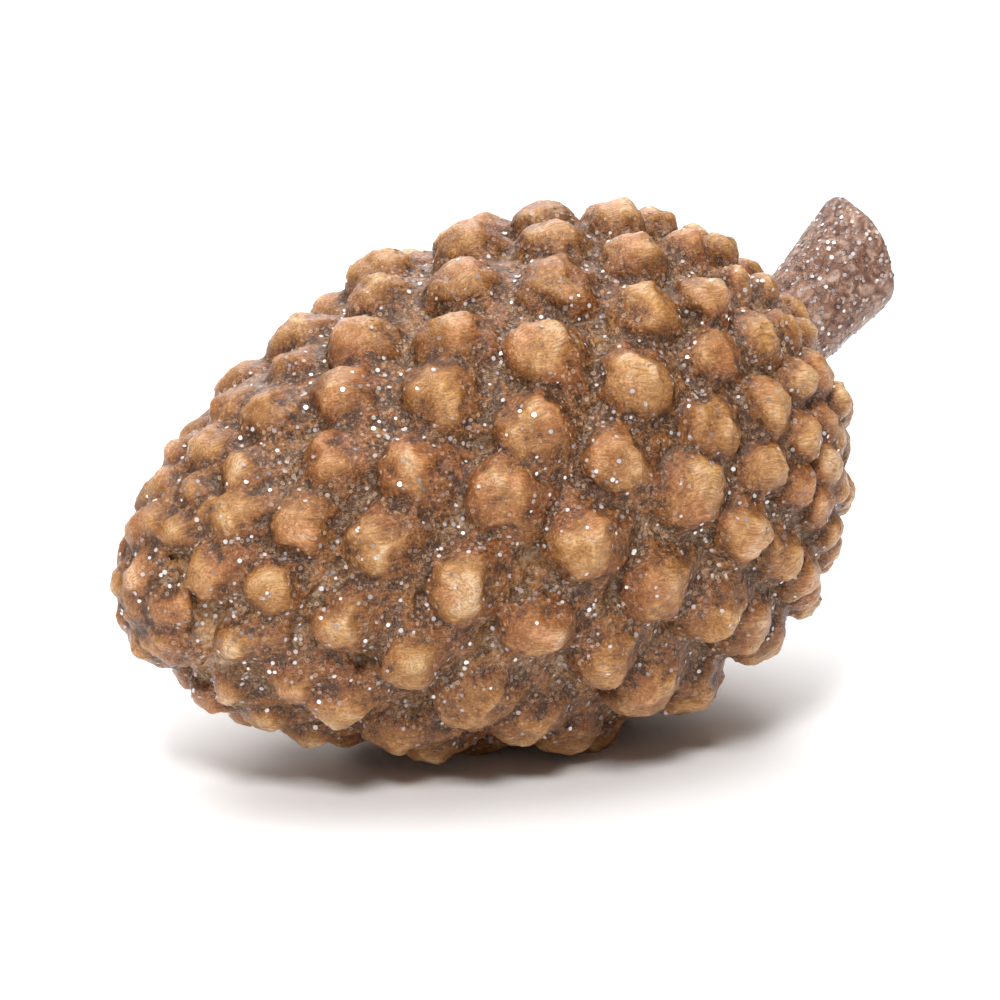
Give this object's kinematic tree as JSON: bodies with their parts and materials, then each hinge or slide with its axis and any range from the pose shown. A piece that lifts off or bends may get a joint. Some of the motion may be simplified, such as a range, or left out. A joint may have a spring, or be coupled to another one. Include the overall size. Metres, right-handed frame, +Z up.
{
  "type": "decorative pine cone",
  "caption": "Decorative pine cone with knob-like scales and a short flared stem, lying on its side, for table and seasonal displays.",
  "frame": {"origin": "on the surface that the cone lies on, under the middle of its box", "axes": "+X from the tip to the stem, level; +Z up"},
  "size_m": [0.1036, 0.0642, 0.064],
  "materials": {
    "cone_paint": "golden brown antiqued paint under clear lacquer, with pale glitter in the hollows",
    "stem_paint": "greyish brown paint under clear lacquer, densely covered in pale glitter"
  },
  "bodies": {
    "root": {"cone": "cone_paint", "stem": "stem_paint"}
  },
  "joints": []
}
